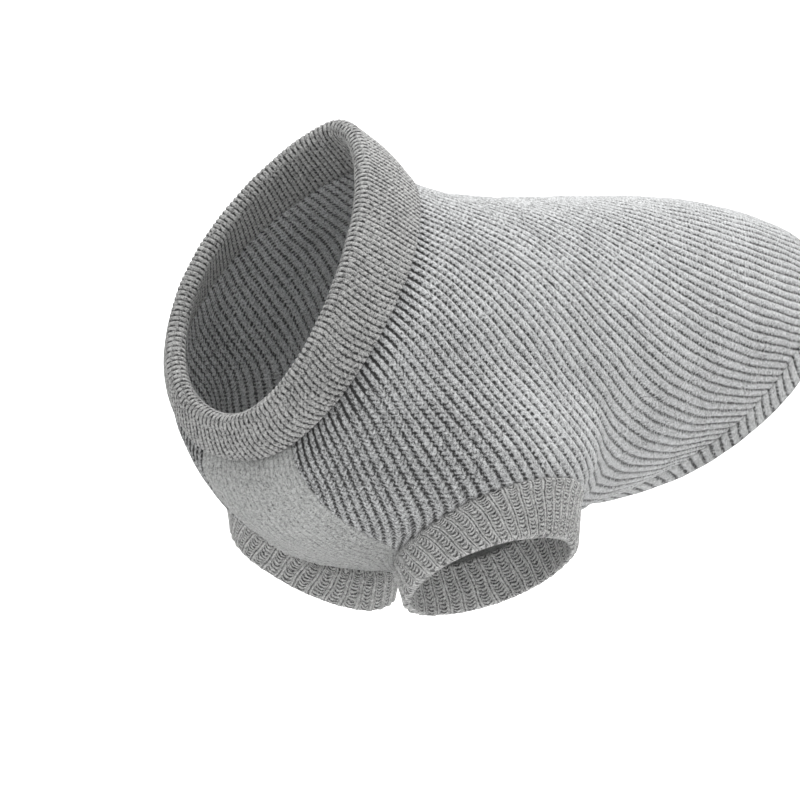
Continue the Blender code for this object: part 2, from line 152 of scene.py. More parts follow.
HEM_ROWS = 12
HEM_STITCH = 0.0030
HEM_LEAN = 0.040  # how far down its ribs land on the hem's edge
HEM_SLACK, HEM_CURL = 0.28, 0.0016  # how much longer it is below, and how far its edge turns out
HEM_FLATTER = 0.85  # by how much its ribs fade towards the edge

CUFF_REPEATS = 40
CUFF_ROWS = 48
CUFF_COLUMNS = 14  # to a repeat
CUFF_ROW_COARSE = 4
CUFF_RIB_HEIGHT, CUFF_STEEPNESS, CUFF_STITCH = 0.0010, 0.5, 0.0020
CUFF_PUFF = 0.0020
CUFF_ROUND_TOP, CUFF_ROUND_EDGE = 0.14, 0.10  # shares of its height that are rounded
CUFF_TAPER = 0.35  # by how much the puff is less at its edge
CUFF_TUCK = 0.0004  # how far its top reaches into the edge of the body
CUFF_TURN = 0.36  # radians, by which its ribs turn outwards on their way down
CUFF_WAVER = 0.012  # radians
CUFF_MITRED = 0.3  # share of its height over which it turns away from the body's mitre


# ---------------------------------------------------------------- rings and the body's surface


def smooth_step(x):
    x = np.clip(x, 0, 1)
    return x**3 * (10 - 15 * x + 6 * x**2)


def unit(vectors):
    return vectors / np.maximum(np.linalg.norm(vectors, axis=-1, keepdims=True), 1e-12)


def ring_at_angle(ring, angle):
    power = np.log(0.5) / np.log(ring.widest)
    height = ((1 - np.cos(angle)) / 2) ** power
    side = np.sin(angle)
    x = ring.top_x + (ring.bottom_x - ring.top_x) * height + ring.bow * side**2
    z = ring.top_z + (ring.bottom_z - ring.top_z) * height
    return np.stack([x, -ring.half_width * side, z], axis=-1)


def ring_points(ring, down):
    angles = np.linspace(0, np.pi, 721)
    steps = np.linalg.norm(np.diff(ring_at_angle(ring, angles), axis=0), axis=1)
    length = np.concatenate([[0], np.cumsum(steps)]) / steps.sum()
    return ring_at_angle(ring, np.interp(down, length, angles))


def torso(along, down):
    rings = np.stack([ring_points(ring, down) for ring in TORSO])
    rings = np.concatenate([2 * rings[:1] - rings[1:2], rings, 2 * rings[-1:] - rings[-2:-1]])
    place = np.clip(along, 0, 1) * (len(TORSO) - 1)
    first = np.minimum(place.astype(int), len(TORSO) - 2)
    part = (place - first)[:, None]
    each = np.arange(len(down))
    a, b, c, d = (rings[first + k, each] for k in range(4))
    curve = (2 * a - 5 * b + 4 * c - d) * part**2 + (3 * b - a - 3 * c + d) * part**3
    return b + ((c - a) * part + curve) / 2


def leg_ring_points(ring, angle):
    forward, outward = ring.half_length * np.cos(angle), ring.half_width * np.sin(angle)
    z = ring.z + ring.out_slope * outward + ring.front_slope * forward
    return np.stack([ring.x - forward, -ring.y - outward, z], axis=-1)


def leg_ring_up(ring):
    return unit(np.array([ring.front_slope, ring.out_slope, 1.0]))


def leg_ring_away(ring, angle):
    step = 0.01
    tangent = leg_ring_points(ring, angle + step) - leg_ring_points(ring, angle - step)
    return unit(np.cross(tangent, leg_ring_up(ring)))


def hole_place(angle):
    along = HOLE_ALONG - HOLE_HALF_ALONG * np.cos(angle) - HOLE_LEAN * np.sin(angle)
    return along, HOLE_DOWN - HOLE_HALF_DOWN * np.sin(angle)


def hole_polar(along, down):
    outward = (HOLE_DOWN - down) / HOLE_HALF_DOWN
    forward = (HOLE_ALONG - along - HOLE_LEAN * outward) / HOLE_HALF_ALONG
    return np.hypot(forward, outward), np.arctan2(outward, forward)


def body(along, down):
    reach, angle = hole_polar(along, down)
    pull = leg_ring_points(CUFF_TOP, angle) - torso(*hole_place(angle))
    away = np.clip((reach - 1) / (SHOULDER_REACH - 1), 0, 1)
    fade = (1 - away) ** 2 * (1 + 2 * away) * smooth_step((1 - down) / MIDLINE_STRIP)
    return torso(along, down) + fade[:, None] * pull


def body_ways(along, down):
    step = 0.004
    after, before = np.clip(along + step, 0, 1), np.clip(along - step, 0, 1)
    below, above = np.clip(down + step, 0, 1), np.clip(down - step, 0, 1)
    along_way = body(after, down) - body(before, down)
    down_way = body(along, below) - body(along, above)
    down_way[(down <= 0) | (down >= 1)] *= (0, 1, 0)
    return unit(along_way), unit(down_way)


def body_normal(along, down):
    along_way, down_way = body_ways(along, down)
    return unit(np.cross(down_way, along_way))


def mitre(angle):
    normal = body_normal(*hole_place(angle))
    away = leg_ring_away(CUFF_TOP, angle)
    return (normal + away) / (1 + np.sum(normal * away, axis=-1, keepdims=True))


# ---------------------------------------------------------------- the paths of the ribs


def drift_table():
    fine = np.linspace(0, 1, 2001)
    slope = np.interp(fine, *zip(*DRIFTS))
    return fine, np.concatenate([[0], np.cumsum((slope[1:] + slope[:-1]) / 2 * np.diff(fine))])


def drift(along):
    return np.interp(along, *drift_table())


def drift_reached(amount):
    fine, drifted = drift_table()
    return np.interp(amount, drifted, fine)


def rib_down(start, along):
    return start + drift(along)


def nearest_to_hole(start):
    fine = np.linspace(0, 1, 4001)
    reach, angle = hole_polar(fine, rib_down(start, fine))
    return reach.min(), angle[np.argmin(reach)]


def first_passing():
    clear, meets = 0.0, SEAM_AT
    for _ in range(40):
        middle = (clear + meets) / 2
        if nearest_to_hole(middle)[0] > 1:
            clear = middle
        else:
            meets = middle
    return clear, nearest_to_hole(clear)[1]


def hole_meetings(start):
    fine = np.linspace(0, 1, 8001)
    reach, _ = hole_polar(fine, rib_down(start, fine))
    inside = fine[reach <= 1]
    return inside[0], inside[-1]


def seam_angles(seam_at):
    front = np.arcsin((HOLE_DOWN - seam_at) / HOLE_HALF_DOWN)
    return front, -np.pi - front


def rib_places(start, begins, ends, rows):
    along = np.linspace(begins, ends, rows + 1)
    return np.stack([along, np.clip(rib_down(start, along), 0, SEAM_AT)], axis=-1)


def level_places(down, begins, ends, rows):
    return np.stack([np.linspace(begins, ends, rows + 1), np.full(rows + 1, down)], axis=-1)


def columns_of(first, last, ribs):
    """Starts from first to last, 2 * SUB to each rib, without the first."""
    return np.linspace(first, last, 2 * SUB * ribs + 1)[1:]


def back_grids():
    """Along and down of the points of the back panel's left half, as two blocks of columns."""
    passing, touch = first_passing()
    touch_along = hole_place(touch)[0]
    before, behind = (hole_place(angle)[0] for angle in seam_angles(SEAM_AT))
    corner, rear_corner = SEAM_AT - drift(before), SEAM_AT - drift(behind)

    starts = columns_of(SEAM_AT, corner, SEAM_RIBS)[:-1]
    reached = [drift_reached(SEAM_AT - start) for start in starts]
    front = [level_places(SEAM_AT, 0, (DRIFTS[0].along + reached[0]) / 2, FRONT_ROWS)]
    front += [rib_places(start, 0, ends, FRONT_ROWS) for start, ends in zip(starts, reached)]
    front += [rib_places(corner, 0, before, FRONT_ROWS)]
    for start in columns_of(corner, passing, LEG_RIBS)[:-1]:
        front.append(rib_places(start, 0, hole_meetings(start)[0], FRONT_ROWS))

    starts = columns_of(rear_corner, passing, REAR_SEAM_RIBS)[:-1]
    reached = [drift_reached(SEAM_AT - start) for start in starts]
    rear = [level_places(SEAM_AT, behind, (behind + reached[0]) / 2, REAR_ROWS)]
    for start, ends in zip(starts, reached):
        rear.append(rib_places(start, hole_meetings(start)[1], ends, REAR_ROWS))

    to_corner = SEAM_AT - rib_down(passing, 1.0)
    from_spine = columns_of(0, -drift(1.0), SPINE_RIBS)[:-1]
    for start in np.concatenate([[passing], columns_of(passing, 0, SIDE_RIBS), from_spine]):
        begins = drift_reached(-start) if start < 0 else 0.0
        middle = begins + (1 - begins) * touch_along
        front.append(rib_places(start, begins, middle, FRONT_ROWS))
        front[-1][0, 1] = max(0.0, start)
        rear.append(rib_places(start, middle, 1, REAR_ROWS))
        lower = to_corner * max(0.0, start) / passing
        rear[-1][:, 1] += lower * np.linspace(0, 1, REAR_ROWS + 1) ** 2
    begins = (front[-1][0, 0] + DRIFTS[-1].along) / 2
    middle = begins + (1 - begins) * touch_along
    front.append(level_places(0, begins, middle, FRONT_ROWS))
    rear.append(level_places(0, middle, 1, REAR_ROWS))
    return np.stack(front), np.stack(rear)


def chest_grid(back_front, back_rear):
    edge_down = SEAM_AT + SEAM_DOWN_GAP
    angles = np.linspace(*seam_angles(edge_down), CHEST_ROWS + 1)
    at_hole = np.stack(hole_place(angles), axis=-1)
    before = np.append(0.0, back_front[: 2 * SUB * SEAM_RIBS : 2, -1, 0])
    behind = back_rear[: 2 * SUB * REAR_SEAM_RIBS + 1 : 2, -1, 0]
    edge = np.concatenate(
        [
            np.stack([before, np.full(len(before), edge_down)], axis=-1),
            at_hole,
            np.stack([behind, np.full(len(behind), edge_down)], axis=-1),
        ]
    )
    share = np.linspace(0, 1, 2 * CHEST_RIBS * SUB + 1)
    down = edge[None, :, 1] + share[:, None] * (1 - edge[None, :, 1])
    return np.stack([np.broadcast_to(edge[None, :, 0], down.shape), down], axis=-1)


# ---------------------------------------------------------------- creases

# A soft trough, or with a positive height a soft ridge, along the line from one point to another.
Fold = namedtuple("Fold", "from_x from_y from_z to_x to_y to_z width height")
FOLDS = (
    # the near side: before the leg, behind it and over the shoulder
    Fold(-0.205, -0.060, -0.150, -0.168, -0.040, -0.205, 0.013, -0.0030),
    Fold(-0.190, -0.075, -0.105, -0.150, -0.085, -0.160, 0.012, -0.0016),
    Fold(-0.052, -0.095, -0.168, 0.010, -0.085, -0.120, 0.011, -0.0028),
    Fold(-0.040, -0.075, -0.185, 0.040, -0.070, -0.170, 0.010, -0.0024),
    Fold(-0.055, -0.095, -0.150, -0.020, -0.090, -0.095, 0.010, 0.0014),
    Fold(-0.125, -0.095, -0.135, -0.110, -0.080, -0.070, 0.013, -0.0016),
    # the far side, much the same but uneven
    Fold(-0.210, 0.055, -0.145, -0.165, 0.042, -0.200, 0.014, -0.0026),
    Fold(-0.185, 0.078, -0.110, -0.155, 0.085, -0.155, 0.011, -0.0018),
    Fold(-0.050, 0.095, -0.160, 0.020, 0.085, -0.125, 0.012, -0.0026),
    Fold(-0.035, 0.072, -0.188, 0.030, 0.072, -0.165, 0.010, -0.0022),
    Fold(-0.118, 0.092, -0.130, -0.112, 0.080, -0.060, 0.014, -0.0016),
    # under the belly, across
    Fold(0.020, -0.040, -0.185, 0.040, 0.050, -0.190, 0.010, -0.0020),
    Fold(-0.180, -0.030, -0.195, -0.170, 0.030, -0.200, 0.012, 0.0014),
)
AXIS_Z = -0.10
SWAY = 0.00013  # how far the ribs waver


def settle(points):
    """Points moved by the creases, towards or away from the middle of the body, and by the sway."""
    away = unit(points * (0, 1, 1) - (0, 0, AXIS_Z))
    raised = np.zeros(len(points))
    for fold in FOLDS:
        start, end = np.array(fold[:3]), np.array(fold[3:6])
        line = end - start
        share = np.clip((points - start) @ line / (line @ line), 0, 1)
        apart = np.linalg.norm(points - start - share[:, None] * line, axis=-1)
        raised += fold.height * np.exp(-((apart / fold.width) ** 2))
    x, y, z = points.T * 2 * np.pi
    sway = np.stack(
        [
            2 * np.sin(x / 0.061 + y / 0.067 + 1.0) + 0.6 * np.sin(z / 0.023 - y / 0.051 + 2.0),
            2 * np.sin(x / 0.057 - z / 0.059 + 4.0) + 0.6 * np.sin(x / 0.021 + z / 0.043),
            2 * np.sin(x / 0.053 + y / 0.069 + 3.0) + 0.6 * np.sin(x / 0.024 - y / 0.047 + 5.0),
        ],
        axis=-1,
    )
    return points + raised[:, None] * away + SWAY * sway


# ---------------------------------------------------------------- surfaces made of ribs


class Knit:
    """A mesh in the making: patches of points, each with its own place in the knit."""

    def __init__(self):
        self.points, self.knit, self.faces, self.count = [], [], [], 0

    def patch(self, points, knit):
        """Adds a grid of points with its knit coordinates, and returns its numbers."""
        size = points.shape[0] * points.shape[1]
        numbers = np.arange(self.count, self.count + size).reshape(points.shape[:2])
        self.points.append(points.reshape(-1, 3))
        self.knit.append(knit.reshape(-1, 2))
        self.count += size
        return numbers

    def sheet(self, grid):
        a, b = grid[:-1, :-1].ravel(), grid[1:, :-1].ravel()
        c, d = grid[1:, 1:].ravel(), grid[:-1, 1:].ravel()
        self.faces += np.stack([a, b, c, d], axis=1).tolist()

    def rim(self, fine, coarse):
        """Joins a line of points to one with fewer, whose ends lie beside its own."""
        ratio = (len(fine) - 1) // (len(coarse) - 1)
        fine, coarse = fine.tolist(), coarse.tolist()
        for k in range(len(coarse) - 1):
            middle = ratio * k + ratio // 2
            for i in range(ratio * k, ratio * (k + 1)):
                near = coarse[k] if i < middle else coarse[k + 1]
                self.faces.append((fine[i], fine[i + 1], near))
            self.faces.append((coarse[k], fine[middle], coarse[k + 1]))

    def mirrored(self):
        """Adds the right half."""
        points, knit = np.concatenate(self.points), np.concatenate(self.knit)
        half = len(points)
        self.points = [points, points * (1, -1, 1)]
        self.knit = [knit, knit]
        self.faces += [tuple(number + half for number in reversed(face)) for face in self.faces]
        self.count = 2 * half

    def make(self, name, move=None):
        points, knit = np.concatenate(self.points), np.concatenate(self.knit)
        keys = np.round(points / 2e-7).astype(np.int64)
        _, first, place = np.unique(keys, axis=0, return_index=True, return_inverse=True)
        place = place.ravel()
        spots = points[first]
        if move:
            spots = move(spots)
        faces, kept = [], []
        for face in self.faces:
            spot = [int(place[number]) for number in face]
            if len(set(spot)) == len(spot):
                faces.append(spot)
                kept.append(face)
            elif len(set(spot)) == 3:
                use = [k for k in range(len(spot)) if spot[k] not in spot[:k]]
                faces.append([spot[k] for k in use])
                kept.append([face[k] for k in use])
        data = bpy.data.meshes.new(name)
        data.from_pydata(spots.tolist(), [], faces)
        layer = data.uv_layers.new(name="knit")
        corners = np.concatenate([np.array(face) for face in kept])
        layer.data.foreach_set("uv", knit[corners].ravel())
        mesh = bmesh.new()
        mesh.from_mesh(data)
        bmesh.ops.recalc_face_normals(mesh, faces=mesh.faces)
        mesh.to_mesh(data)
        mesh.free()
        data.shade_smooth()
        piece = bpy.data.objects.new(name, data)
        bpy.context.scene.collection.objects.link(piece)
        return piece


def rib_profile(across):
    """The height of a rounded rib, with narrow troughs at 0 and 1."""
    return (0.5 - 0.5 * np.cos(2 * np.pi * across)) ** RIB_ROUNDNESS


def add_ribs(
    knit,
    inside,
    out,
    profile=rib_profile,
    height=RIB_HEIGHT,
    steep=RIB_STEEPNESS,
    stitch=STITCH,
    first_rib=0,
    sub=SUB,
    row_coarse=ROW_COARSE,
    rims=BOTH_RIMS,
):
    """Adds a wall whose columns run in ribs of 2 * sub columns, and returns its patches."""
    n = 2 * sub
    steps = np.linalg.norm(np.diff(inside, axis=1), axis=-1)
    length = np.concatenate([np.zeros((len(inside), 1)), np.cumsum(steps, axis=1)], axis=1)
    way = unit(np.gradient(inside, axis=1))
    patches = []
    for k in range((len(inside) - 1) // n):
        columns = np.arange(k * n, (k + 1) * n + 1)
        centre = k * n + sub
        apart = inside[columns] - inside[centre]
        shift = np.sum(apart * way[centre], axis=-1)
        v = (length[centre] + shift) / stitch
        u = np.broadcast_to((first_rib + k + np.arange(n + 1) / n)[:, None], v.shape)
        across = inside[columns[-1]] - inside[columns[0]]
        across = across - np.sum(across * way[centre], axis=-1, keepdims=True) * way[centre]
        width = np.linalg.norm(across, axis=-1)
        raised = profile(np.arange(n + 1) / n)[:, None] * np.minimum(height, steep * width / 2)[None]
        outside = inside[columns] + out[columns] * (WALL + raised)[..., None]
        place = np.stack([u, v], axis=-1)
        outer = knit.patch(outside, place)
        coarse = slice(None, None, sub)
        inner = knit.patch(
            inside[columns][coarse][:, ::row_coarse], place[coarse][:, ::row_coarse]
        )
        knit.sheet(outer)
        knit.sheet(inner)
        if "first row" in rims:
            knit.rim(outer[:, 0], inner[:, 0])
        if "last row" in rims:
            knit.rim(outer[:, -1], inner[:, -1])
        patches.append((outer, inner))
    return patches


def body_lines(places):
    along, down = places[..., 0].ravel(), places[..., 1].ravel()
    inside = body(along, down).reshape(*places.shape[:2], 3)
    normal = body_normal(along, down).reshape(inside.shape)
    reach, angle = hole_polar(places[..., 0], places[..., 1])
    lean = np.clip(1 - (reach - 1) / MITRE_REACH, 0, 1)[..., None]
    return inside, normal + lean * (mitre(angle.ravel()).reshape(inside.shape) - normal)


def make_back_panel(grids):
    front, rear = grids
    turn, back_turn = 2 * SUB * (SEAM_RIBS + LEG_RIBS), 2 * SUB * REAR_SEAM_RIBS
    knit = Knit()
    for block in (front[: turn + 1], rear[: back_turn + 1]):
        inside, out = body_lines(block)
        ribs = add_ribs(knit, inside, out)
        knit.rim(ribs[0][0][0], ribs[0][1][0])
    inside, out = body_lines(np.concatenate([front[turn:], rear[back_turn:, 1:]], axis=1))
    count = 2 * SUB * SIDE_RIBS
    for part, first_rib, rims in (
        (slice(0, count + 1), 0, BOTH_RIMS),
        (slice(count, None), SIDE_RIBS, ("last row",)),
    ):
        add_ribs(knit, inside[part], out[part], first_rib=first_rib, rims=rims)
    knit.mirrored()
    return knit.make("back_panel_knit", settle)


def make_chest_panel(grids):
    places = chest_grid(*grids)
    inside, out = body_lines(places)
    fading = smooth_step(places[0, :, 0] / CHEST_FLATTENED_AT)
    knit = Knit()
    patches = add_ribs(
        knit,
        inside,
        out,
        profile=lambda across: (1 - np.cos(2 * np.pi * across)) / 2,
        height=CHEST_RIB_HEIGHT * (1 - CHEST_FLATTER * fading),
        steep=CHEST_STEEPNESS,
        stitch=CHEST_STITCH,
    )
    knit.rim(patches[0][0][0], patches[0][1][0])
    knit.mirrored()
    return knit.make("chest_panel_knit", settle)


def make_collar():
    down = np.linspace(0, 1, 2 * COLLAR_RIBS * COLLAR_SUB + 1)
    neck, lands = np.zeros(len(down)), np.full(len(down), FLAP_LANDS)
    along_way, _ = body_ways(neck, down)
    neck_out = body_normal(neck, down)
    start = body(neck, down) - RING_GAP * along_way
    fold = ring_points(COLLAR_FOLD, down)
    landing = body(lands, down) + FLAP_CLEAR * body_normal(lands, down)

    step = 0.01
    below, above = np.clip(down + step, 0, 1), np.clip(down - step, 0, 1)
    tangent = ring_points(COLLAR_FOLD, below) - ring_points(COLLAR_FOLD, above)
    tangent[[0, -1]] *= (0, 1, 0)
    tangent = unit(tangent)
    forward = unit(fold - start)
    fold_out = unit(np.cross(tangent, -forward))
    forward = unit(np.cross(tangent, fold_out))

    hidden, out = [], []
    first = start + WALL * neck_out
    top = fold - FOLD_RADIUS * fold_out
    for share in np.linspace(0, 1, COLLAR_INNER_ROWS + 1)[:-1]:
        hidden.append(first * (1 - share) + top * share)
        out.append(unit(-neck_out * (1 - share) - fold_out * share))
    for turned in np.linspace(0, np.pi, COLLAR_FOLD_ROWS + 1):
        out.append(forward * np.sin(turned) - fold_out * np.cos(turned))
        hidden.append(fold + FOLD_RADIUS * out[-1])
    turned_over = hidden[-1]
    flap_out = unit(np.cross(tangent, landing - turned_over))
    for share in np.linspace(0, 1, COLLAR_LAYER_ROWS + 1)[1:]:
        bulge = FLAP_BULGE * np.sin(np.pi * share) * flap_out
        leaned = down + np.interp(down, *zip(*COLLAR_LEANS)) * share**COLLAR_LEAN_POWER
        landing = body(lands, leaned) + FLAP_CLEAR * body_normal(lands, leaned)
        hidden.append(turned_over * (1 - share) + landing * share + bulge)
        out.append(flap_out)
    hidden, out = np.stack(hidden, axis=1), np.stack(out, axis=1)
    knit = Knit()
    add_ribs(
        knit,
        hidden,
        out,
        height=COLLAR_RIB_HEIGHT,
        stitch=COLLAR_STITCH,
        sub=COLLAR_SUB,
    )
    knit.mirrored()
    return knit.make("collar_knit", settle)


def make_hem_band():
    down = np.linspace(0, 1, HEM_RIBS * SUB + 1)
    seam = np.ones(len(down))
    along_way, _ = body_ways(seam, down)
    start = body(seam, down) + RING_GAP * along_way
    edge = ring_points(HEM_EDGE, down + HEM_LEAN * np.sin(np.pi * down) ** 2)
    share = np.linspace(0, 1, HEM_ROWS + 1)[None, :, None]
    slack = smooth_step((down - 0.25) / 0.35) * (1 - 0.6 * smooth_step((down - 0.75) / 0.2))
    reach = share * (1 + HEM_SLACK * slack[:, None, None])
    out = np.broadcast_to(body_normal(seam, down)[:, None], reach.shape[:2] + (3,))
    curl = HEM_CURL * smooth_step((share - 0.55) / 0.45) * slack[:, None, None]
    inside = start[:, None] * (1 - reach) + edge[:, None] * reach + curl * out
    fading = smooth_step((share[0, :, 0] - 0.35) / 0.65)
    knit = Knit()
    height = RIB_HEIGHT * (1 - HEM_FLATTER * fading)
    add_ribs(knit, inside, out, height=height, stitch=HEM_STITCH)
    knit.mirrored()
    return knit.make("hem_band_knit", settle)


def cuff_profile(place):
    """Height across a repeat: a wide flat band, then two narrow ridges with a groove between."""
    at = (0.0, 0.05, 0.30, 0.55, 0.60, 0.68, 0.75, 0.80, 0.85, 0.92, 1.0)
    height = (0.05, 0.30, 0.42, 0.30, 0.05, 0.95, 0.95, 0.25, 0.95, 0.95, 0.05)
    return np.interp(place, at, height)


def cuff_puff(share):
    """How far the soft knit stands out, from its rounded top to its rounded edge."""
    top = np.clip(1 - share / CUFF_ROUND_TOP, 0, 1)
    edge = np.clip(1 - (1 - share) / CUFF_ROUND_EDGE, 0, 1)
    return CUFF_PUFF * np.sqrt(1 - top**2) * np.sqrt(1 - edge**2) * (1 - CUFF_TAPER * share)


def make_cuff(name, side):
    places = np.arange(CUFF_REPEATS * CUFF_COLUMNS + 1) / (CUFF_REPEATS * CUFF_COLUMNS)
    around = 2 * np.pi * places
    inside, out = [], []
    for share in np.linspace(0, 1, CUFF_ROWS + 1):
        ring = LegRing(*(np.array(CUFF_TOP) * (1 - share) + np.array(CUFF_BOTTOM) * share))
        waver = CUFF_WAVER * np.sin(9 * share + 5 * np.sin(around) + 3 * np.cos(2 * around))
        angles = around + (CUFF_TURN * np.cos(around) + waver) * share
        inside.append(leg_ring_points(ring, angles) + leg_ring_up(ring) * CUFF_TUCK * (1 - share))
        lean = max(0.0, 1 - share / CUFF_MITRED)
        way = lean * mitre(angles) + (1 - lean) * leg_ring_away(ring, angles)
        out.append(way * (1 + cuff_puff(share) / WALL))
    inside, out = np.stack(inside, axis=1), np.stack(out, axis=1)
    inside[-1], out[-1] = inside[0], out[0]
    knit = Knit()
    add_ribs(
        knit,
        inside,
        out,
        profile=cuff_profile,
        height=CUFF_RIB_HEIGHT,
        steep=CUFF_STEEPNESS,
        stitch=CUFF_STITCH,
        sub=CUFF_COLUMNS // 2,
        row_coarse=CUFF_ROW_COARSE,
    )
    if side > 0:
        knit.points = [points * (1, -1, 1) for points in knit.points]
    return knit.make(name, settle)


# ---------------------------------------------------------------- materials


class Nodes:
    """Short names for the nodes of one material."""

    def __init__(self, name):
        self.material = bpy.data.materials.new(name)
        self.material.use_nodes = True
        self.tree = self.material.node_tree
        self.shader = self.tree.nodes["Principled BSDF"]

    def put(self, socket, value):
        if isinstance(value, bpy.types.NodeSocket):
            self.tree.links.new(value, socket)
        else:
            socket.default_value = value

    def math(self, operation, *values):
        node = self.tree.nodes.new("ShaderNodeMath")
        node.operation = operation
        for socket, value in zip(node.inputs, values):
            self.put(socket, value)
        return node.outputs[0]

    def add(self, a, b):
        return self.math("ADD", a, b)

    def times(self, a, b):
        return self.math("MULTIPLY", a, b)

    def wave(self, phase):
        """0 to 1 and back while the phase goes up by 1."""
        cosine = self.math("COSINE", self.times(phase, 2 * np.pi))
        return self.math("MULTIPLY_ADD", cosine, -0.5, 0.5)

    def smooth(self, value, low, high):
        node = self.tree.nodes.new("ShaderNodeMapRange")
        node.interpolation_type = "SMOOTHSTEP"
        self.put(node.inputs["Value"], value)
        node.inputs["From Min"].default_value = low
        node.inputs["From Max"].default_value = high
        return node.outputs["Result"]

    def vector(self, operation, *values):
        node = self.tree.nodes.new("ShaderNodeVectorMath")
        node.operation = operation
        for socket, value in zip(node.inputs, values):
            self.put(socket, value)
        return node.outputs["Value" if operation == "DOT_PRODUCT" else "Vector"]

    def outside(self, spot):
        """1 where the surface faces away from the middle of the body, and 0 on the inside."""
        normal = self.tree.nodes.new("ShaderNodeNewGeometry").outputs["True Normal"]
        away = self.vector("MULTIPLY_ADD", spot, (0, 1, 1), (0, 0, -AXIS_Z))
        return self.math("GREATER_THAN", self.vector("DOT_PRODUCT", away, normal), 0.0)

    def noise(self, vector, scale, roughness=0.5):
        node = self.tree.nodes.new("ShaderNodeTexNoise")
        self.put(node.inputs["Vector"], vector)
        node.inputs["Scale"].default_value = scale
        node.inputs["Detail"].default_value = 2.0
        node.inputs["Roughness"].default_value = roughness
        return node.outputs["Fac"]


# The looks of one knit. light and dark are the two tones of its yarn, and dark is also the tone that
# the painted shade goes towards. trough, gap and centre say how much painted shade darkens the
# troughs, the gaps between stitches and the stitches' middle line, and lean how far the stitches
# lean. depth is the relief and fleck the melange. ragged and dotted break up the painted shade in
# the troughs, and front widens it before the leg. In front, the first stitches of each rib, up to
# the stitch shade, have a painted shadow of the collar in their troughs, and all below low_z is
# darker by low, as painted shade. These darkenings are painted shade and aren't tones of the yarn.
Look = namedtuple(
    "Look",
    "light dark trough gap centre lean depth fleck ragged front dotted shade low low_z",
    defaults=(0.0, 0.0, 0.0, -9.0, 0.0, 1.0),
)

FRONT_FROM, FRONT_FULL = 0.07, 0.18  # from the middle of the body towards the neck
LOW_SPAN = 0.03  # over which the darker part below fades in
SHADE_STITCHES = 3.0  # over which the darker part under the collar fades out
TROUGH_FROM, TROUGH_FULL = 0.45, 1.00  # of the way from a rib's crown to its edge
MEAN_TONE, PATCH_TONE = 0.70, 0.30


def melange(n, spot, fleck):
    """How light the yarn is, from its flecks, and the two noises that also raise its surface."""
    fine = n.noise(spot, 1500.0, 0.7)
    coarse = n.noise(spot, 620.0, 0.6)
    patches = n.noise(spot, 30.0, 0.5)
    blend = n.math("MULTIPLY_ADD", n.add(fine, -0.5), fleck, MEAN_TONE)
    blend = n.math("MULTIPLY_ADD", n.add(coarse, -0.5), fleck * 0.7, blend)
    blend = n.math("MULTIPLY_ADD", n.add(patches, -0.5), PATCH_TONE, blend)
    return blend, fine, coarse


def finish_knit(n, look, blend, height):
    blend = n.math("MAXIMUM", n.math("MINIMUM", blend, 1.0), 0.0)
    mix = n.tree.nodes.new("ShaderNodeMix")
    mix.data_type = "RGBA"
    n.put(mix.inputs["Factor"], blend)
    n.put([i for i in mix.inputs if i.name == "A" and i.type == "RGBA"][0], (*look.dark, 1))
    n.put([i for i in mix.inputs if i.name == "B" and i.type == "RGBA"][0], (*look.light, 1))
    n.put(n.shader.inputs["Base Color"], [o for o in mix.outputs if o.type == "RGBA"][0])
    bump = n.tree.nodes.new("ShaderNodeBump")
    bump.inputs["Strength"].default_value = 0.8
    bump.inputs["Distance"].default_value = 0.0007
    n.put(bump.inputs["Height"], height)
    n.put(n.shader.inputs["Normal"], bump.outputs["Normal"])
    n.shader.inputs["Roughness"].default_value = 0.95
    n.shader.inputs["Specular IOR Level"].default_value = 0.15
    n.shader.inputs["Sheen Weight"].default_value = 0.25
    n.shader.inputs["Sheen Roughness"].default_value = 0.6
    return n.material


def knit_places(n):
    """The object coordinates, and how far across the ribs and along the stitches a point lies."""
    coordinates = n.tree.nodes.new("ShaderNodeTexCoord")
    split = n.tree.nodes.new("ShaderNodeSeparateXYZ")
    uv = n.tree.nodes.new("ShaderNodeUVMap")
    uv.uv_map = "knit"
    n.tree.links.new(uv.outputs["UV"], split.inputs[0])
    return coordinates.outputs["Object"], split.outputs["X"], split.outputs["Y"]


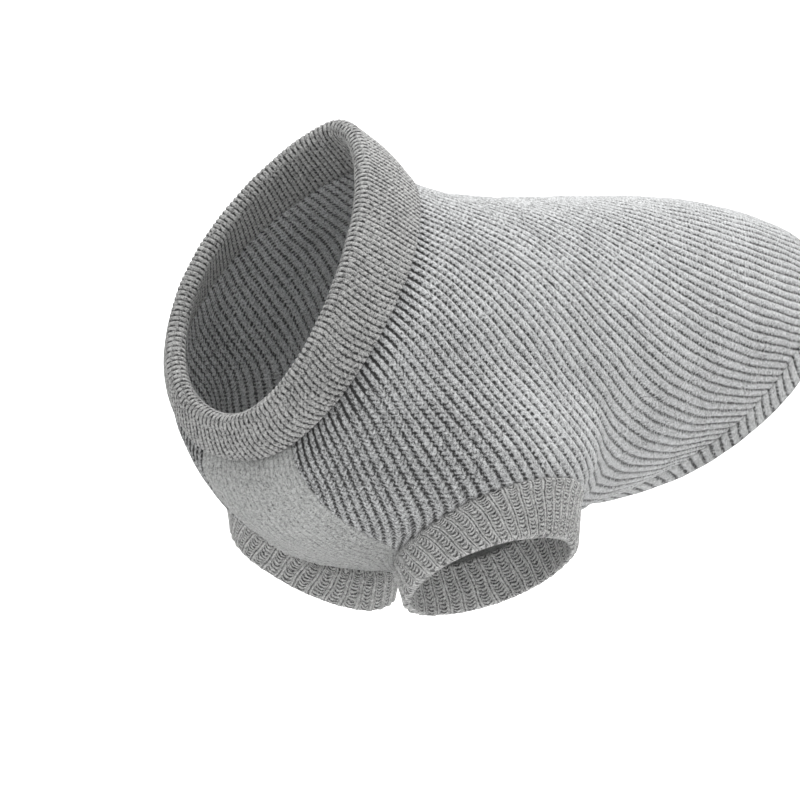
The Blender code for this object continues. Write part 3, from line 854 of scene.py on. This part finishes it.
def rib_material(name, look):
    """A melange rib knit: light crowns of leaning stitches between soft troughs of dotted painted
    shade.
    """
    n = Nodes(name)
    spot, u, v = knit_places(n)
    axes = n.tree.nodes.new("ShaderNodeSeparateXYZ")
    n.tree.links.new(spot, axes.inputs[0])
    front = n.smooth(n.times(axes.outputs["X"], -1.0), FRONT_FROM, FRONT_FULL)
    from_crown = n.math("ABSOLUTE", n.math("MULTIPLY_ADD", n.math("FRACT", u), 2.0, -1.0))
    uneven = n.add(n.noise(spot, 150.0), -0.5)
    phase = n.add(n.add(v, n.times(from_crown, look.lean)), n.times(uneven, 0.8))
    stitch = n.wave(phase)
    gap = n.math("SUBTRACT", 1.0, n.smooth(stitch, 0.0, 0.55))
    gap = n.times(gap, n.math("MULTIPLY_ADD", front, 1.4, 0.2))
    ragged = n.add(n.noise(spot, 480.0), -0.5)
    edge = n.math("MULTIPLY_ADD", front, look.front, from_crown)
    edge = n.math("MULTIPLY_ADD", ragged, look.ragged, edge)
    in_trough = n.smooth(edge, TROUGH_FROM, TROUGH_FULL)
    middle = n.math("SUBTRACT", 1.0, n.smooth(from_crown, 0.0, 0.22))
    blend, fine, coarse = melange(n, spot, look.fleck)
    # Painted shade: in front, all below low_z is darker by low.
    below = n.times(axes.outputs["Z"], -1.0)
    low = n.smooth(below, look.low_z - LOW_SPAN, look.low_z + LOW_SPAN)
    blend = n.math("MULTIPLY_ADD", n.times(low, front), -look.low, blend)
    # Painted shade in the gaps between stitches, much stronger in front, and along their middle
    # line.
    blend = n.math("MULTIPLY_ADD", gap, -look.gap, blend)
    blend = n.math("MULTIPLY_ADD", n.times(middle, gap), -look.centre, blend)
    dots = n.wave(n.add(v, n.times(uneven, 1.3)))
    dots = n.math("MULTIPLY_ADD", dots, look.dotted, 0.92 - look.dotted / 2)
    dots = n.math("MULTIPLY_ADD", ragged, 1.6, dots)
    # Painted shadow of the collar: on the outside in front, the first stitches of each rib get
    # darker dots in their troughs.
    past_shade = n.smooth(v, look.shade, look.shade + SHADE_STITCHES)
    painted_collar_shadow = n.math("SUBTRACT", 1.0, past_shade)
    painted_collar_shadow = n.times(painted_collar_shadow, n.outside(spot))
    dots = n.math("MULTIPLY_ADD", n.times(painted_collar_shadow, front), 0.9, dots)
    # Painted shade in the troughs, broken into dots.
    blend = n.math("MULTIPLY_ADD", n.times(in_trough, dots), -look.trough, blend)
    depth = n.math("MULTIPLY_ADD", front, 0.6 * look.depth, 0.4 * look.depth)
    height = n.math("MULTIPLY", n.math("POWER", stitch, 0.6), depth)
    height = n.math("MULTIPLY_ADD", middle, -0.3 * look.depth, height)
    height = n.math("MULTIPLY_ADD", n.times(in_trough, dots), -0.35, height)
    height = n.math("MULTIPLY_ADD", fine, 0.50, height)
    height = n.math("MULTIPLY_ADD", coarse, 0.50, height)
    return finish_knit(n, look, blend, height)


def cuff_material(name, look):
    """The cuffs' knit: wide columns of stacked arcs, then two light ridges and a groove; its purl
    holes, its groove and the low lines beside the ridges hold painted shade.
    """
    n = Nodes(name)
    spot, u, v = knit_places(n)
    place = n.math("FRACT", u)
    uneven = n.add(n.noise(spot, 300.0), -0.5)
    ragged = n.add(n.noise(spot, 700.0), -0.5)
    from_middle = n.math("MULTIPLY_ADD", place, 1 / 0.30, -1.0)
    arc = n.math("MULTIPLY", from_middle, from_middle)
    row = n.wave(n.add(n.math("MULTIPLY_ADD", arc, 0.55, v), n.times(uneven, 1.1)))
    in_purl = n.math("SUBTRACT", 1.0, n.smooth(n.math("ABSOLUTE", from_middle), 0.72, 1.0))
    row = n.math("MULTIPLY_ADD", ragged, 0.9, row)
    holes = n.math("SUBTRACT", 1.0, n.smooth(row, 0.25, 0.70))
    from_groove = n.math("ABSOLUTE", n.math("MULTIPLY_ADD", place, 1 / 0.20, -4.0))
    in_groove = n.math("SUBTRACT", 1.0, n.smooth(from_groove, 0.05, 0.40))
    from_ridge = n.math("ABSOLUTE", n.add(from_groove, -1.0))
    beside = n.math("SUBTRACT", 1.0, n.smooth(from_ridge, 0.05, 0.30))
    blend, fine, coarse = melange(n, spot, look.fleck)
    # Painted shade in the purl holes, in the groove and in the low lines beside the ridges.
    blend = n.math("MULTIPLY_ADD", n.times(in_purl, holes), -look.gap, blend)
    broken = n.math("MULTIPLY_ADD", ragged, 1.4, 1.0)
    blend = n.math("MULTIPLY_ADD", n.times(in_groove, broken), -look.trough, blend)
    blend = n.math("MULTIPLY_ADD", n.times(beside, broken), -look.centre, blend)
    height = n.math("MULTIPLY", n.times(in_purl, holes), -look.depth)
    height = n.math("MULTIPLY_ADD", in_groove, -0.5, height)
    height = n.math("MULTIPLY_ADD", fine, 0.40, height)
    height = n.math("MULTIPLY_ADD", coarse, 0.40, height)
    return finish_knit(n, look, blend, height)


BODY_LOOK = Look(
    light=(0.755, 0.765, 0.77),
    dark=(0.04, 0.04, 0.04),
    trough=0.62,
    gap=0.12,
    centre=0.10,
    lean=0.70,
    depth=0.40,
    fleck=2.2,
    ragged=0.50,
    front=0.07,
    dotted=0.95,
    shade=4.0,
    low=0.13,
    low_z=0.12,
)
CHEST_LOOK = Look(
    light=(0.60, 0.61, 0.60),
    dark=(0.08, 0.08, 0.08),
    trough=0.16,
    gap=0.03,
    centre=0.00,
    lean=0.45,
    depth=0.12,
    fleck=2.0,
    ragged=0.60,
    dotted=0.9,
    low=0.26,
    low_z=0.200,
)
COLLAR_LOOK = Look(
    light=(0.65, 0.65, 0.64),
    dark=(0.04, 0.04, 0.04),
    trough=0.66,
    gap=0.12,
    centre=0.03,
    lean=0.45,
    depth=0.60,
    fleck=2.1,
    ragged=0.80,
    front=0.02,
    dotted=0.5,
)
HEM_LOOK = Look(
    light=(0.69, 0.70, 0.70),
    dark=(0.05, 0.05, 0.05),
    trough=0.72,
    gap=0.06,
    centre=0.05,
    lean=0.45,
    depth=0.20,
    fleck=1.7,
    ragged=0.45,
    dotted=0.6,
)
CUFF_LOOK = Look(
    light=(0.76, 0.76, 0.75),
    dark=(0.04, 0.04, 0.04),
    trough=0.45,
    gap=0.55,
    centre=0.30,
    lean=0.0,
    depth=0.8,
    fleck=1.9,
)


def plain_material(name, colour, roughness):
    n = Nodes(name)
    n.shader.inputs["Base Color"].default_value = (*colour, 1)
    n.shader.inputs["Roughness"].default_value = roughness
    return n.material


# ---------------------------------------------------------------- stage


LOOKING = (0.7431, 0.6691, 0)  # the way the camera looks
AIM = (0.0, 0.0, -0.1)  # the middle of the sweater
AMBIENT = 0.56


def make_stage():
    """A pale floor that curves up into a backdrop."""
    floor_z, wide, near, far, bend = -0.47, 6.0, -4.0, 2.4, 1.2
    profile = [(near, floor_z), (far, floor_z)]
    for angle in np.linspace(0, np.pi / 2, 17)[1:]:
        profile.append((far + bend * np.sin(angle), floor_z + bend * (1 - np.cos(angle))))
    profile.append((far + bend, 4.0))
    look = Vector(LOOKING)
    side = Vector((LOOKING[1], -LOOKING[0], 0))
    points = [look * s + side * w + Vector((0, 0, z)) for s, z in profile for w in (-wide, wide)]
    faces = [(2 * i, 2 * i + 1, 2 * i + 3, 2 * i + 2) for i in range(len(profile) - 1)]
    data = bpy.data.meshes.new("floor")
    data.from_pydata(points, [], faces)
    data.shade_smooth()
    data.materials.append(plain_material("floor_paint", (0.92, 0.92, 0.92), 0.9))
    tree = data.materials[0].node_tree
    shader = tree.nodes["Principled BSDF"]
    shader.inputs["Emission Color"].default_value = (1, 1, 1, 1)
    seen = tree.nodes.new("ShaderNodeLightPath")
    tree.links.new(seen.outputs["Is Camera Ray"], shader.inputs["Emission Strength"])
    floor = bpy.data.objects.new("floor", data)
    bpy.context.scene.collection.objects.link(floor)


def add_light(name, place, size, power):
    light = bpy.data.lights.new(name, "AREA")
    light.shape = "SQUARE"
    light.size = size
    light.energy = power
    lamp = bpy.data.objects.new(name, light)
    lamp.location = place
    lamp.rotation_euler = (Vector(AIM) - Vector(place)).to_track_quat("-Z", "Y").to_euler()
    bpy.context.scene.collection.objects.link(lamp)


def make_lights_and_camera():
    scene = bpy.context.scene
    world = bpy.data.worlds.new("studio")
    scene.world = world
    world.use_nodes = True
    tree = world.node_tree
    background = tree.nodes["Background"]
    background.inputs["Color"].default_value = (1, 1, 1, 1)
    seen, strength = tree.nodes.new("ShaderNodeLightPath"), tree.nodes.new("ShaderNodeMath")
    strength.operation = "MAXIMUM"
    strength.inputs[1].default_value = AMBIENT
    tree.links.new(seen.outputs["Is Camera Ray"], strength.inputs[0])
    tree.links.new(strength.outputs[0], background.inputs["Strength"])
    scene.view_settings.view_transform = "Standard"
    add_light("top_light", (0.3, -0.3, 1.9), size=1.6, power=46)
    add_light("front_light", (-1.5, -1.2, 0.6), size=1.2, power=2)
    camera = bpy.data.objects.new("camera", bpy.data.cameras.new("camera"))
    camera.data.lens = 100
    camera.data.sensor_width = 36
    camera.location = (-1.0388, -0.8384, -0.1185)
    camera.rotation_euler = Vector(LOOKING).to_track_quat("-Z", "Y").to_euler()
    scene.collection.objects.link(camera)
    scene.camera = camera


# ---------------------------------------------------------------- the sweater


# Each piece as it lies flat, as worn: its greatest width and length, and its area.
Cut = namedtuple("Cut", "flat area")


def dress(piece, node, material):
    piece.data.materials.append(material)
    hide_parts(node)
    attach(piece, "root")


def main():
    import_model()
    grids = back_grids()
    body_knit = rib_material("body_knit", BODY_LOOK)
    chest_knit = rib_material("chest_knit", CHEST_LOOK)
    collar_knit = rib_material("collar_knit", COLLAR_LOOK)
    hem_knit = rib_material("hem_knit", HEM_LOOK)
    cuff_knit = cuff_material("cuff_knit", CUFF_LOOK)

    dress(make_back_panel(grids), "back_panel", body_knit)
    dress(make_chest_panel(grids), "chest_panel", chest_knit)
    dress(make_collar(), "collar", collar_knit)
    dress(make_hem_band(), "hem_band", hem_knit)
    dress(make_cuff("cuff_left_knit", -1), "cuff_left", cuff_knit)
    dress(make_cuff("cuff_right_knit", 1), "cuff_right", cuff_knit)

    make_stage()
    make_lights_and_camera()


main()
